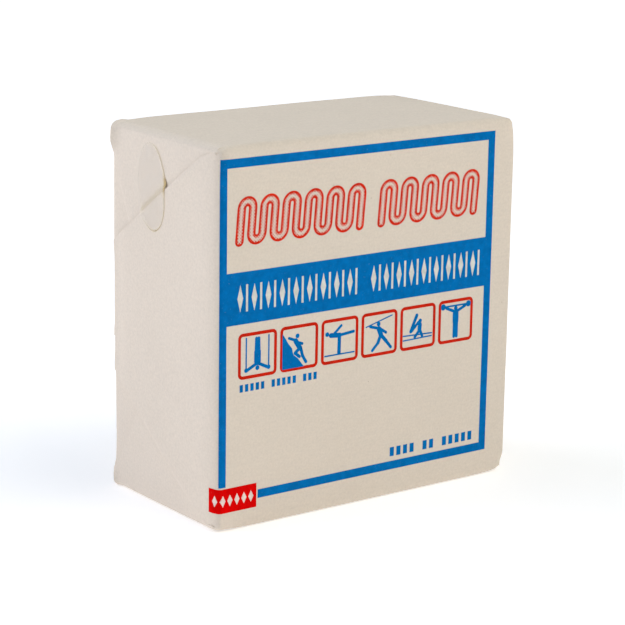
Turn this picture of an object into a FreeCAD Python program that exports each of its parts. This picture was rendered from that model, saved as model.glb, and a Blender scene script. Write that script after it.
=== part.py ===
import FreeCAD, Part
import os
import Sketcher

# A pressed chalk block wrapped in one sheet of paper. The sheet is a sleeve round the block, lapped and
# pasted along the back, and its ends are folded in as four flaps: back, top and bottom, then front. A clear
# oval seal holds each front flap down.
#
# Frame: X runs along the printed front face, Y from front to back, Z up. The origin is at the middle of the
# base. Outlines are drawn from the front edge of the base, so Y starts at the front face and Z at the base.

DIMENSIONS = {
    # the wrapped block, over the paper
    "wrap_width": 70.0,
    "wrap_depth": 36.3,
    "wrap_height": 71.5,
    "corner_radius": 1.2,
    # paper, paste and film, and the slack between folded layers
    "paper": 0.12,
    "paste": 0.05,
    "film": 0.08,
    "layer_gap": 0.03,
    "crease_gap": 0.03,
    # the block inside
    "block_clearance": 0.02,
    "block_edge_radius": 1.2,
    # the lapped seam on the back
    "lap_bottom": 30.0,
    "lap_width": 12.0,
    "lap_root": 2.0,
    "lap_slit": 0.06,
    # front flap: how far its free edge reaches, where its two folds start and how steep they are
    "front_reach": 34.8,
    "front_upper_start": 2.9,
    "front_upper_slope": 0.641,
    "front_lower_start": 4.6,
    "front_lower_slope": 0.736,
    # top and bottom flaps: depth, the hidden fold towards the front, the fold towards the back
    "side_reach": 26.0,
    "side_front_start": 1.5,
    "side_front_slope": 1.43,
    "top_back_drop": 5.8,
    "top_back_slope": 2.16,
    "bottom_back_rise": 2.75,
    "bottom_back_slope": 1.72,
    # back flap: its folds run at 45 degrees
    "back_reach": 24.0,
    # the paper turned under along each fold
    "turn_under": 6.0,
    # oval seal: half axes, centre on the end face, lean of its long axis towards the back
    "seal_half_length": 8.1,
    "seal_half_width": 4.4,
    "seal_from_front": 21.9,
    "seal_height": 61.2,
    "seal_lean": 8.6,
}

END_FACE = "YZ_Plane"
PLAN = "XY_Plane"
FRONT = "XZ_Plane"
ENDS = {"left": -1, "right": 1}

# How far each fold layer lies behind the end face: every flap is one sheet, doubled at its folds.
FRONT_LAYER = "0"
SIDE_LAYER = "2 * paper + layer_gap"
BACK_LAYER = "4 * paper + 2 * layer_gap"
BLOCK_LENGTH = "wrap_width - 12 * paper - 6 * layer_gap"

# Where the straight part of a wall begins and ends between the rounded corners.
LOW = "corner_radius"
HIGH = "wrap_height - corner_radius"
REAR = "wrap_depth - corner_radius"

# A flap turns about the middle of its crease, half a sheet in from both faces, and the wall stops beside it.
HALF_SHEET = "paper / 2"
WALL_END = "paper + crease_gap"
UPRIGHT_CREASE = "wrap_height - 2 * corner_radius"


def make_sheet(document):
    """Write the driving dimensions into a spreadsheet, one alias each."""
    sheet = document.addObject("Spreadsheet::Sheet", "dims")
    for row, (alias, value) in enumerate(DIMENSIONS.items(), start=1):
        sheet.set(f"A{row}", alias)
        sheet.set(f"B{row}", str(value))
        sheet.setAlias(f"B{row}", alias)
    document.recompute()
    return sheet


def cell(text):
    """Turn words such as wrap_depth - paper into an expression on the sheet's aliases."""
    words = text.split()
    return " ".join(f"dims.{word}" if word in DIMENSIONS else word for word in words)


def make_body(document, label):
    """An empty body whose label is its node name, with Y and Z counted from the front edge of the base."""
    body = document.addObject("PartDesign::Body", f"body_{label}")
    body.Label = label
    body.setExpression("Placement.Base.y", cell("0 - wrap_depth / 2"))
    return body


def attach(body, name, role):
    """A sketch on one of the body's own origin planes."""
    sketch = body.newObject("Sketcher::SketchObject", name)
    plane = next(item for item in body.Origin.OriginFeatures if item.Role == role)
    sketch.AttachmentSupport = [(plane, "")]
    sketch.MapMode = "FlatFace"
    return sketch


def polygon(body, name, corners, plane=END_FACE):
    """A closed outline. Each corner is (across, up), in words on the sheet."""
    sketch = attach(body, name, plane)
    count = len(corners)
    # a regular outline to start from, which the distances then pull into place
    centre = FreeCAD.Vector(20, 20, 0)
    reach = FreeCAD.Vector(10, 0, 0)
    axis = FreeCAD.Vector(0, 0, 1)
    starts = [centre + FreeCAD.Rotation(axis, 360 * index / count).multVec(reach) for index in range(count)]
    for index in range(count):
        sketch.addGeometry(Part.LineSegment(starts[index], starts[(index + 1) % count]), False)
    for index in range(count):
        sketch.addConstraint(Sketcher.Constraint("Coincident", index, 2, (index + 1) % count, 1))
    for index, (across, up) in enumerate(corners):
        for kind, start, words in (("DistanceX", starts[index].x, across), ("DistanceY", starts[index].y, up)):
            number = sketch.addConstraint(Sketcher.Constraint(kind, -1, 1, index, 1, start))
            sketch.setExpression(f"Constraints[{number}]", cell(words))
    return sketch


def circle(sketch, radius, across, up):
    """A circle whose centre is (across, up), in words on the sheet."""
    sketch.addGeometry(Part.Circle(FreeCAD.Vector(1, 1, 0), FreeCAD.Vector(0, 0, 1), 1.0), False)
    sizes = (
        (Sketcher.Constraint("Radius", 0, 1.0), radius),
        (Sketcher.Constraint("DistanceX", -1, 1, 0, 3, 1.0), across),
        (Sketcher.Constraint("DistanceY", -1, 1, 0, 3, 1.0), up),
    )
    for constraint, words in sizes:
        number = sketch.addConstraint(constraint)
        sketch.setExpression(f"Constraints[{number}]", cell(words))


def rectangle(front, back, base, top):
    """The corners of an upright rectangle on an end face."""
    return [(front, base), (back, base), (back, top), (front, top)]


def pad(body, name, sketch, length, side="Symmetric", backwards=False):
    """Add the sketch's outline as a solid of the given length."""
    feature = body.newObject("PartDesign::Pad", name)
    feature.Profile = sketch
    feature.SideType = side
    feature.Reversed = backwards
    feature.setExpression("Length", cell(length))
    return feature


def pocket(body, name, sketch, length):
    """Cut the sketch's outline through the body, evenly to both sides of its plane."""
    feature = body.newObject("PartDesign::Pocket", name)
    feature.Profile = sketch
    feature.SideType = "Symmetric"
    feature.setExpression("Length", cell(length))
    return feature


def fillet(body, name, base, edges, radius):
    """Round the named edges of a feature."""
    feature = body.newObject("PartDesign::Fillet", name)
    feature.Base = (base, edges)
    feature.setExpression("Radius", cell(radius))
    return feature


def edges_along_x(shape, inset, sheet):
    """Names of the four edges along X that lie at the corners of the wrap, inset from its outside."""
    names = []
    for number, edge in enumerate(shape.Edges, start=1):
        first = edge.Vertexes[0].Point
        along = edge.Vertexes[-1].Point - first
        across = min(abs(first.y - inset), abs(first.y - sheet.wrap_depth + inset))
        up = min(abs(first.z - inset), abs(first.z - sheet.wrap_height + inset))
        if abs(along.x) > sheet.wrap_width / 2 and max(across, up) < 1e-4:
            names.append(f"Edge{number}")
    return names


def make_block(document):
    """The pressed block. It clears the paper all round, and the sheet's inner layer at the seam."""
    body = make_body(document, "chalk_block")
    outline = rectangle(
        "paper + block_clearance",
        "wrap_depth - 2 * paper - paste - block_clearance",
        "paper + block_clearance",
        "wrap_height - paper - block_clearance",
    )
    block = pad(body, "pressing", polygon(body, "pressing_outline", outline), BLOCK_LENGTH)
    document.recompute()
    every_edge = [f"Edge{number}" for number in range(1, len(block.Shape.Edges) + 1)]
    fillet(body, "pressing_edges", block, every_edge, "block_edge_radius")


def make_sleeve(document, sheet):
    """The sheet's tube. Its walls end where the flaps of their own fold layer begin."""
    body = make_body(document, "wrapper_sleeve")
    outside = rectangle("0", "wrap_depth", "0", "wrap_height")
    pad(body, "tube", polygon(body, "tube_outside", outside), "wrap_width")
    inside = rectangle("paper", "wrap_depth - paper", "paper", "wrap_height - paper")
    hollow = pocket(body, "tube_hollow", polygon(body, "tube_inside", inside), "wrap_width + 2")
    document.recompute()
    inner_corners = edges_along_x(hollow.Shape, sheet.paper, sheet)
    rounded_inside = fillet(body, "tube_inner_corners", hollow, inner_corners, "corner_radius - paper")
    document.recompute()
    outer_corners = edges_along_x(rounded_inside.Shape, 0, sheet)
    fillet(body, "tube_corners", rounded_inside, outer_corners, "corner_radius")

    # the sheet's lower edge steps inwards and runs up behind the lap, whose free edge is the slit
    tongue_back = "wrap_depth - paper - paste"
    tongue = rectangle(
        "wrap_depth - 2 * paper - paste", tongue_back, "lap_bottom - lap_root", "lap_bottom + lap_width"
    )
    pad(body, "lap_tongue", polygon(body, "lap_tongue_outline", tongue), BLOCK_LENGTH)
    step = rectangle(tongue_back, "wrap_depth - paper / 2", "lap_bottom - lap_root", "lap_bottom")
    pad(body, "lap_step", polygon(body, "lap_step_outline", step), BLOCK_LENGTH)
    slit = rectangle("wrap_depth - paper", "wrap_depth + 1", "lap_bottom", "lap_bottom + lap_slit")
    pocket(body, "lap_edge", polygon(body, "lap_edge_outline", slit), "wrap_width + 2")

    for end, side in ENDS.items():
        front_wall = f"wrap_width / 2 - ( {WALL_END} )"
        side_wall = f"{front_wall} - ( {SIDE_LAYER} )"
        back_wall = f"{front_wall} - ( {BACK_LAYER} )"
        beyond = "wrap_width / 2 + 1"
        plan = [
            (side_wall, LOW),
            (beyond, LOW),
            (beyond, "wrap_depth + 1"),
            (back_wall, "wrap_depth + 1"),
            (back_wall, REAR),
            (side_wall, REAR),
        ]
        front = [(front_wall, LOW), (beyond, LOW), (beyond, HIGH), (front_wall, HIGH)]
        for name, corners, plane, length in (
            (f"{end}_side_trim", plan, PLAN, "2 * wrap_height + 2"),
            (f"{end}_front_trim", front, FRONT, "2 * corner_radius"),
        ):
            outline = [(f"{side} * ( {across} )", up) for across, up in corners]
            pocket(body, name, polygon(body, f"{name}_outline", outline, plane), length)


def make_paste_line(document):
    """The paste between the lap and the tongue behind it."""
    body = make_body(document, "seam_paste_line")
    outline = rectangle(
        "wrap_depth - paper - paste",
        "wrap_depth - paper",
        "lap_bottom + 2 * lap_slit",
        "lap_bottom + lap_width - 2 * lap_slit",
    )
    pad(body, "paste", polygon(body, "paste_outline", outline), BLOCK_LENGTH)


def make_flap(document, label, side, layer, outline, folds, crease):
    """One end flap: a sheet with a rounded crease and turned-under edges, which lie on its inner side.

    The crease is (plane square to it, the plane's offset along it, its length, its level on the plane).
    """
    body = make_body(document, label)
    body.setExpression("Placement.Base.x", cell(f"{side} * ( wrap_width / 2 - ( {layer} ) )"))
    inwards = {"side": "One side", "backwards": side > 0}
    pad(body, f"{label}_sheet", polygon(body, f"{label}_outline", outline), "paper", **inwards)
    for number, fold in enumerate(folds, start=1):
        name = f"{label}_fold_{number}"
        pad(body, name, polygon(body, f"{name}_outline", fold), "2 * paper", **inwards)
    plane, middle, length, level = crease
    section = attach(body, f"{label}_crease_section", plane)
    section.setExpression("AttachmentOffset.Base.z", cell(middle))
    circle(section, HALF_SHEET, f"{-side} * {HALF_SHEET}", level)
    pad(body, f"{label}_crease", section, length)


def make_front_flap(document, end, side):
    """The outermost flap, hinged on the front vertical edge and narrowing towards the back."""
    run_up = "( front_reach - front_upper_start )"
    run_low = "( front_reach - front_lower_start )"
    tip_high = f"{HIGH} - {run_up} * front_upper_slope"
    tip_low = f"{LOW} + {run_low} * front_lower_slope"
    outline = [
        (HALF_SHEET, LOW),
        ("front_lower_start", LOW),
        ("front_reach", tip_low),
        ("front_reach", tip_high),
        ("front_upper_start", HIGH),
        (HALF_SHEET, HIGH),
    ]
    upper_fold = [
        ("front_upper_start", HIGH),
        ("front_reach", tip_high),
        ("front_reach", f"{tip_high} - turn_under"),
        ("front_upper_start", f"{HIGH} - turn_under"),
    ]
    lower_fold = [
        ("front_lower_start", LOW),
        ("front_reach", tip_low),
        ("front_reach", f"{tip_low} + turn_under"),
        ("front_lower_start", f"{LOW} + turn_under"),
    ]
    crease = (PLAN, "wrap_height / 2", UPRIGHT_CREASE, HALF_SHEET)
    make_flap(document, f"{end}_front_flap", side, FRONT_LAYER, outline, [upper_fold, lower_fold], crease)


def make_side_flap(document, end, side, which):
    """The top or bottom flap, hinged on its horizontal edge and narrowing away from it."""
    straight, slope = {
        "top": ("top_back_drop", "top_back_slope"),
        "bottom": ("bottom_back_rise", "bottom_back_slope"),
    }[which]

    def level(depth):
        return f"wrap_height - ( {depth} )" if which == "top" else depth

    def front_edge(depth):
        return f"side_front_start + ( {depth} ) / side_front_slope"

    back_tip = f"{REAR} - ( side_reach - {straight} ) / {slope}"
    outline = [
        ("side_front_start", level(HALF_SHEET)),
        (REAR, level(HALF_SHEET)),
        (REAR, level(straight)),
        (back_tip, level("side_reach")),
        (front_edge("side_reach"), level("side_reach")),
    ]
    fold_end = "side_reach - turn_under"
    front_fold = [
        (front_edge(LOW), level(LOW)),
        (front_edge(fold_end), level(fold_end)),
        (f"{front_edge(fold_end)} + turn_under / 2", level(fold_end)),
        (f"{front_edge(LOW)} + turn_under / 2", level(LOW)),
    ]
    back_fold = [
        (REAR, level(straight)),
        (back_tip, level("side_reach")),
        (f"{back_tip} - turn_under / 4", level("side_reach")),
        (f"{REAR} - turn_under / 4", level(straight)),
    ]
    crease = (
        FRONT,
        f"0 - ( side_front_start + {REAR} ) / 2",
        f"{REAR} - side_front_start",
        level(HALF_SHEET),
    )
    make_flap(document, f"{end}_{which}_flap", side, SIDE_LAYER, outline, [front_fold, back_fold], crease)


def make_back_flap(document, end, side):
    """The innermost flap, hinged on the back vertical edge. Its folds leave the corners at 45 degrees."""
    tip = "wrap_depth - back_reach"
    rise = f"( {REAR} - ( {tip} ) )"
    outline = [
        (f"wrap_depth - {HALF_SHEET}", LOW),
        (f"wrap_depth - {HALF_SHEET}", HIGH),
        (REAR, HIGH),
        (tip, f"{HIGH} - {rise}"),
        (tip, f"{LOW} + {rise}"),
        (REAR, LOW),
    ]
    upper_fold = [
        (REAR, HIGH),
        (tip, f"{HIGH} - {rise}"),
        (tip, f"{HIGH} - {rise} - turn_under"),
        (REAR, f"{HIGH} - turn_under"),
    ]
    lower_fold = [
        (REAR, LOW),
        (tip, f"{LOW} + {rise}"),
        (tip, f"{LOW} + {rise} + turn_under"),
        (REAR, f"{LOW} + turn_under"),
    ]
    crease = (PLAN, "wrap_height / 2", UPRIGHT_CREASE, f"wrap_depth - {HALF_SHEET}")
    make_flap(document, f"{end}_back_flap", side, BACK_LAYER, outline, [upper_fold, lower_fold], crease)


def make_seal(document, end, side):
    """The clear oval film over the front flap's upper fold."""
    body = make_body(document, f"{end}_seal")
    body.setExpression("Placement.Base.x", cell(f"{side} * wrap_width / 2"))
    sketch = attach(body, f"{end}_seal_outline", END_FACE)
    centre = FreeCAD.Vector(20, 60, 0)
    long_tip = centre + FreeCAD.Vector(1, 8, 0)
    wide_tip = centre + FreeCAD.Vector(-4, 0.5, 0)
    sketch.addGeometry(Part.Ellipse(long_tip, wide_tip, centre), False)
    sketch.exposeInternalGeometry(0)
    sizes = (
        (Sketcher.Constraint("DistanceX", -1, 1, 0, 3, centre.x), "seal_from_front"),
        (Sketcher.Constraint("DistanceY", -1, 1, 0, 3, centre.y), "seal_height"),
        (Sketcher.Constraint("Distance", 1, 16.0), "2 * seal_half_length"),
        (Sketcher.Constraint("Distance", 2, 8.0), "2 * seal_half_width"),
    )
    for constraint, words in sizes:
        number = sketch.addConstraint(constraint)
        sketch.setExpression(f"Constraints[{number}]", cell(words))
    major_axis = sketch.Geometry[1]
    towards = major_axis.EndPoint - major_axis.StartPoint
    upwards = 90 if towards.y > 0 else 270
    number = sketch.addConstraint(Sketcher.Constraint("Angle", 1, FreeCAD.Units.Quantity(f"{upwards} deg")))
    sketch.setExpression(f"Constraints[{number}]", cell(f"( {upwards} - seal_lean ) * 1 deg"))
    pad(body, f"{end}_seal_film", sketch, "film", side="One side", backwards=side < 0)


def check(document):
    """Stop if any object failed or any sub-part isn't one valid solid."""
    for item in document.Objects:
        if "Invalid" in item.State or "Error" in item.State:
            raise RuntimeError(f"{item.Name} failed: {item.State}")
    bodies = [item for item in document.Objects if item.TypeId == "PartDesign::Body"]
    for body in bodies:
        if body.Shape.isNull() or not body.Shape.isValid() or len(body.Shape.Solids) != 1:
            raise RuntimeError(f"{body.Label} isn't one valid solid")
    return bodies


def main():
    document = FreeCAD.newDocument("chalk_block")
    sheet = make_sheet(document)
    make_block(document)
    make_sleeve(document, sheet)
    make_paste_line(document)
    for end, side in ENDS.items():
        make_back_flap(document, end, side)
        make_side_flap(document, end, side, "top")
        make_side_flap(document, end, side, "bottom")
        make_front_flap(document, end, side)
        make_seal(document, end, side)
    document.recompute()

    os.makedirs("parts", exist_ok=True)
    for body in check(document):
        box = body.Shape.BoundBox
        size = f"{box.XLength:.2f} x {box.YLength:.2f} x {box.ZLength:.2f} mm"
        print(f"{body.Label}: {size}, {body.Shape.Volume:.1f} mm3")
        body.Shape.exportStep(f"parts/{body.Label}.step")


main()
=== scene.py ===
import math
from typing import NamedTuple

import bmesh
import bpy
import numpy as np
from mathutils import Matrix, Vector, noise


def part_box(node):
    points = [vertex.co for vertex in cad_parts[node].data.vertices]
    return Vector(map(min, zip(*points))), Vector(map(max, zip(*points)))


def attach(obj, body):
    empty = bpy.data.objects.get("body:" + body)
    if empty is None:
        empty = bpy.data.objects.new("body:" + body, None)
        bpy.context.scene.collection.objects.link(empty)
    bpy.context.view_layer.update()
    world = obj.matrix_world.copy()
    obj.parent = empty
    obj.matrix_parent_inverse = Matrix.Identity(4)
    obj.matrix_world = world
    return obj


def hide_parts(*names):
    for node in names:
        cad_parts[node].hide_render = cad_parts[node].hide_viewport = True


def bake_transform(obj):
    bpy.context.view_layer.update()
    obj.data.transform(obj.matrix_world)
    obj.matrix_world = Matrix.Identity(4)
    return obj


# The wrapped chalk block: one paper sheet round the block, its ends folded in as flaps that lie over each
# other, a clear oval seal on each end, and the print on the front.
#
# Lengths here are millimetres in the CAD frame. "From the front" and "up" are measured from the front edge
# of the base, as in the CAD source. Objects are made in metres.

MM = 0.001

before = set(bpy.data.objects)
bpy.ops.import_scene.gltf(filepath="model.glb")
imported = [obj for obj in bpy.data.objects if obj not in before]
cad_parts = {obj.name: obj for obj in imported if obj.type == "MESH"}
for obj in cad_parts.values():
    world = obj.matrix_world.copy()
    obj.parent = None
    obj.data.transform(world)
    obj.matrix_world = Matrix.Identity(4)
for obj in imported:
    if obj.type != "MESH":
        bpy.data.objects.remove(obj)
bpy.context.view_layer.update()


def node_box(name):
    """The lowest and highest corner of a CAD node, in millimetres."""
    low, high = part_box(name)
    return np.array(low) / MM, np.array(high) / MM


# Sizes from the frame
sleeve_low, sleeve_high = node_box("wrapper_sleeve")
FRONT, BACK = sleeve_low[1], sleeve_high[1]
DEPTH = BACK - FRONT
HEIGHT = sleeve_high[2]
HALF_WIDTH = node_box("right_front_flap")[1][0]

# The paper, and how its walls turn at the long edges
PAPER = 0.12
LONG_EDGE = 1.2
LOW, HIGH = LONG_EDGE, HEIGHT - LONG_EDGE
NEAR, REAR = LONG_EDGE, DEPTH - LONG_EDGE
STEP = 1.0  # spacing of the mesh on flat paper
ARC_STEPS = 8

# The flaps begin on the walls, this far in from the ends
JOIN = HALF_WIDTH - 2.4
FOLD_RADIUS = 0.07

# The lapped seam on the back: its free edge, how far the other edge runs up behind it and how deep that lies
LAP_EDGE = 30.0
LAP_TOP = 42.0
LAP_DEPTH = 0.17


# ---- shape of the paper


def smooth(value):
    """0 below 0, 1 above 1 and a soft step between."""
    share = min(1.0, max(0.0, value))
    return share * share * (3 - 2 * share)


# The paper's slow and fine ripples: how high they stand and how long they are
SLOW_RIPPLE = (0.055, 19)
FINE_RIPPLE = (0.02, 7)
# The ends lean in from this height up, by this much at the top
LEAN_FROM, LEAN_SPAN, END_LEAN = 62.5, 9, 0.46
# How far the top's edges are pressed down, and how far the base's corners are worn up
LEFT_DROP, RIGHT_DROP, FRONT_DROP, REAR_CORNER_DROP = 0.22, 0.3, 0.12, 0.2
FRONT_CORNER_RISE, REAR_CORNER_RISE = 0.34, 0.2

# Where the wrap bulges or is dented: side, from the front, up, how far outwards, and its half length along
# each axis
BULGES = (
    (-1, 36.8, 69.1, 0.95, (3.0, 2.6, 2.9)),
    (-1, 36.2, 1.6, 0.45, (2.4, 2.0, 2.6)),
    (1, 35.8, 69.6, 0.30, (2.2, 2.2, 2.2)),
    (1, 36.0, 2.0, 0.25, (2.0, 2.0, 2.0)),
    (1, 0.6, 1.0, -0.55, (2.0, 2.0, 2.0)),
    (1, 0.8, 70.6, -0.20, (1.4, 1.4, 1.4)),
)


def swell(x, y, z):
    """How far the paper stands proud of its flat shape: slow ripples, and the bulges at the corners."""
    depth = y - FRONT
    ripple = SLOW_RIPPLE[0] * (1 + noise.noise(Vector((x, y, z)) / SLOW_RIPPLE[1]))
    ripple += FINE_RIPPLE[0] * (1 + noise.noise(Vector((x + 50, y, z)) / FINE_RIPPLE[1]))
    on_end = smooth((abs(x) - HALF_WIDTH + 2.2) / 1.5)
    ripple -= END_LEAN * on_end * (max(0.0, z - LEAN_FROM) / LEAN_SPAN) ** 2
    on_back = smooth((depth - DEPTH + 1) / 1)
    in_seam = smooth((z - LAP_EDGE + 6) / 4) * smooth((LAP_TOP + 6 - z) / 4)
    height = ripple * smooth(z / 3) * (1 - on_back * in_seam)
    for side, from_front, up, proud, halves in BULGES:
        offsets = (x - side * HALF_WIDTH, depth - from_front, z - up)
        away = sum((offset / half) ** 4 for offset, half in zip(offsets, halves))
        if away < 9:
            height += proud * math.exp(-away)
    return height


def settled(x, y, z):
    """The same point, lower where the top's edges are pressed down, higher at the base's worn corners."""
    near_end = ((HALF_WIDTH - abs(x)) / 4.5) ** 2
    near_front = ((y - FRONT) / 3.0) ** 2
    near_back = ((BACK - y) / 4) ** 2
    drop = (LEFT_DROP if x < 0 else RIGHT_DROP) * math.exp(-near_end) + FRONT_DROP * math.exp(-near_front)
    drop += REAR_CORNER_DROP * math.exp(-near_end - near_back)
    rise = FRONT_CORNER_RISE * math.exp(-near_end - near_front)
    rise += REAR_CORNER_RISE * math.exp(-near_end - near_back)
    z += rise * smooth((1.8 - z) / 1.8) - drop * smooth((z - 69.4) / 1.6)
    return x, y, max(z, PAPER / 2)


def tuck(depth, z):
    """How much deeper the back wall lies below the seam, and how its free edge springs up."""
    if depth < DEPTH / 2:
        return 0.0
    if z >= LAP_EDGE:
        return -0.16 * smooth((LAP_EDGE + 3 - z) / 3)
    return LAP_DEPTH * smooth((z - 2) / 8)


class Bend(NamedTuple):
    """How a wall turns the corner onto an end: a curve that starts along the wall and ends along the end.

    Pull is how far in on the end it aims: a small pull turns it sharply at the wall and slowly on the end.
    """

    level: float
    on_wall: float
    on_end: float
    pull: float

    def between(self, other, share):
        """A bend part of the way from this one to another."""
        return Bend(*(first + (second - first) * share for first, second in zip(self, other)))

    def run_at(self, share):
        """The run at a share of the turn, from 0 on the wall to 1 on the end."""
        return share * (self.on_wall + self.on_end) - self.on_wall

    def curve(self, share):
        """(behind the wall, behind the end) on the curve, and how fast each changes."""
        rest, aim = 1 - share, 0.42 * self.on_wall
        wall = 3 * rest * share**2 * self.pull + share**3 * self.on_end
        end = rest**3 * self.on_wall + 3 * rest**2 * share * aim
        wall_change = 6 * rest * share * self.pull + 3 * share**2 * (self.on_end - self.pull)
        end_change = -3 * rest**2 * (self.on_wall - aim) - 6 * rest * share * aim
        return wall, end, wall_change, end_change

    def share_behind(self, behind):
        """The share of the turn that has come this far behind the wall."""
        shares = np.linspace(0, 1, 181)
        return float(np.interp(behind, self.curve(shares)[0], shares))

    def place(self, run, depth):
        """(behind the wall, behind the end) at a run from the sharp corner: below 0 on the wall."""
        if run <= -self.on_wall:
            return depth, -run
        if run >= self.on_end:
            return run, depth
        wall, end, wall_change, end_change = self.curve((run + self.on_wall) / (self.on_wall + self.on_end))
        length = math.hypot(wall_change, end_change)
        return wall - depth * end_change / length, end + depth * wall_change / length

    def run_after(self, distance):
        """The run at a distance along the paper from where the wall begins to turn."""
        runs = [self.run_at(share) for share in np.linspace(0, 1, 91)]
        places = np.array([self.place(run, 0) for run in runs])
        lengths = np.concatenate([[0], np.cumsum(np.hypot(*np.diff(places, axis=0).T))])
        if distance > lengths[-1]:
            return self.on_end + distance - lengths[-1]
        return float(np.interp(distance, lengths, runs))


# Each wall's turn onto an end: how far it reaches on the wall and on the end, and its pull
BENDS = {
    wall: Bend(node_box(f"right_{wall}_flap")[1][0], *shape)
    for wall, shape in (
        ("front", (1.2, 5.4, 1.3)),
        ("top", (1.1, 1.2, 0.5)),
        ("bottom", (1.3, 1.6, 0.7)),
        ("back", (1.2, 1.5, 0.65)),
    )
}


def on_wall(wall, side, run, across, depth, bend):
    """A point of a wall or its flap: across is up the wall, or from the front on the top and bottom."""
    behind_wall, behind_end = bend.place(run, depth)
    x = side * (bend.level - behind_end)
    if wall == "front":
        return x, FRONT + behind_wall, across
    if wall == "back":
        return x, BACK - behind_wall, across
    if wall == "top":
        return x, FRONT + across, HEIGHT - behind_wall
    return x, FRONT + across, behind_wall


def sheet_point(wall, side, run, across, depth, lift=0.0):
    """The same point on the rippled paper, never lower than the table it stands on."""
    bend = BENDS[wall]
    x, y, z = on_wall(wall, side, run, across, 0, bend)
    behind = tuck(y - FRONT, z) if wall == "back" else 0
    return settled(*on_wall(wall, side, run, across, depth + behind - swell(x, y, z) - lift, bend))


# ---- making meshes


class Builder:
    """Gathers grids of points, in millimetres, into one mesh."""

    def __init__(self):
        self.points = []
        self.faces = []
        self.values = []

    def grid(self, rows, closed=False, values=None):
        """Add rows of points as quads. Closed joins each row's last point to its first."""
        start, count = len(self.points), len(rows[0])
        for number, row in enumerate(rows):
            self.points.extend(row)
            self.values.extend(values[number] if values else [0.0] * count)
        for r in range(len(rows) - 1):
            for c in range(count if closed else count - 1):
                first, second = start + r * count + c, start + r * count + (c + 1) % count
                self.faces.append((first, second, second + count, first + count))

    def plain_object(self, name, values_name=None):
        """The grids as one welded piece. Named values become an attribute of its points."""
        mesh = bpy.data.meshes.new(name)
        mesh.from_pydata([[c * MM for c in point] for point in self.points], [], self.faces)
        if values_name:
            mesh.attributes.new(values_name, "FLOAT", "POINT").data.foreach_set("value", self.values)
        piece = bpy.data.objects.new(name, mesh)
        bpy.context.scene.collection.objects.link(piece)
        weld(mesh)
        return piece

    def mesh_object(self, name, outwards, thickness, offset=0.0, values_name=None):
        """The piece as a closed sheet of this thickness. Outwards says which way its face looks there."""
        piece = self.plain_object(name, values_name)
        widest = max(piece.data.polygons, key=lambda polygon: polygon.area)
        if widest.normal.dot(outwards(widest.center / MM)) < 0:
            piece.data.flip_normals()
        solidify = piece.modifiers.new("thickness", "SOLIDIFY")
        solidify.thickness = thickness * MM
        solidify.offset = offset
        apply_modifiers(piece)
        piece.data.set_sharp_from_angle(angle=math.radians(50))
        return piece


def weld(mesh):
    """Join points that lie on each other, and drop faces that have closed up."""
    made = bmesh.new()
    made.from_mesh(mesh)
    bmesh.ops.remove_doubles(made, verts=made.verts, dist=2e-6)
    bmesh.ops.dissolve_degenerate(made, edges=made.edges, dist=1e-7)
    bmesh.ops.recalc_face_normals(made, faces=made.faces)
    made.to_mesh(mesh)
    made.free()
    for polygon in mesh.polygons:
        polygon.use_smooth = True


def apply_modifiers(piece):
    """Make the modifiers' result the piece's own mesh."""
    depsgraph = bpy.context.evaluated_depsgraph_get()
    made = bpy.data.meshes.new_from_object(piece.evaluated_get(depsgraph))
    piece.modifiers.clear()
    piece.data = made


def levels(first, last, step=STEP):
    """Evenly spaced values from first to last, no further apart than step."""
    return list(np.linspace(first, last, max(2, math.ceil(abs(last - first) / step) + 1)))


# ---- the sleeve

CORNERS = (
    # name of the wall before and after, centre of the rounding, directions of the two walls
    ("back", "top", (REAR, HIGH), (1, 0), (0, 1)),
    ("top", "front", (NEAR, HIGH), (0, 1), (-1, 0)),
    ("front", "bottom", (NEAR, LOW), (-1, 0), (0, -1)),
    ("bottom", "back", (REAR, LOW), (0, -1), (1, 0)),
)


def corner_directions(before, after):
    """Unit directions from one wall's outward direction to the next one's."""
    for step in range(ARC_STEPS + 1):
        angle = step / ARC_STEPS * math.pi / 2
        yield tuple(math.cos(angle) * b + math.sin(angle) * a for b, a in zip(before, after))


def sleeve_stations():
    """(from the front, up, outward direction, extra depth) once round the tube, from edge to edge."""
    up_back = [(DEPTH, z, (1, 0), tuck(DEPTH, z)) for z in levels(LAP_EDGE, HIGH)]
    along_top = [(y, HEIGHT, (0, 1), 0.0) for y in levels(REAR, NEAR)]
    down_front = [(0.0, z, (-1, 0), 0.0) for z in levels(HIGH, LOW)]
    along_base = [(y, 0.0, (0, -1), 0.0) for y in levels(NEAR, REAR)]
    low_back = [(DEPTH, z, (1, 0), tuck(DEPTH, z)) for z in levels(LOW, LAP_EDGE - 2)]
    tongue = [(DEPTH, z, (1, 0), LAP_DEPTH) for z in levels(LAP_EDGE - 1, LAP_TOP)]
    stations = []
    for wall, corner in zip((up_back, along_top, down_front, along_base), CORNERS):
        (across, up), before, after = corner[2:]
        arc = [
            (across + LONG_EDGE * n[0], up + LONG_EDGE * n[1], n, 0.0)
            for n in corner_directions(before, after)
        ]
        stations += wall + arc[1:-1]
    return stations + low_back + tongue


def make_sleeve():
    """The sheet's tube with its lapped seam, and the paper tucked round the eight corners of the block."""
    builder = Builder()
    rows = []
    for across, up, (out_y, out_z), extra in sleeve_stations():
        row = []
        for x in levels(-JOIN, JOIN, 1.25):
            depth = PAPER / 2 + extra - swell(x, FRONT + across, up)
            row.append(settled(x, FRONT + across - out_y * depth, up - out_z * depth))
        rows.append(row)
    builder.grid(rows)
    for side in (-1, 1):
        for corner in CORNERS:
            builder.grid(corner_tuck(side, *corner))
    return builder.mesh_object("sleeve_paper", lambda point: Vector((0, 0, point.z - HEIGHT / 2)), PAPER)


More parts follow.
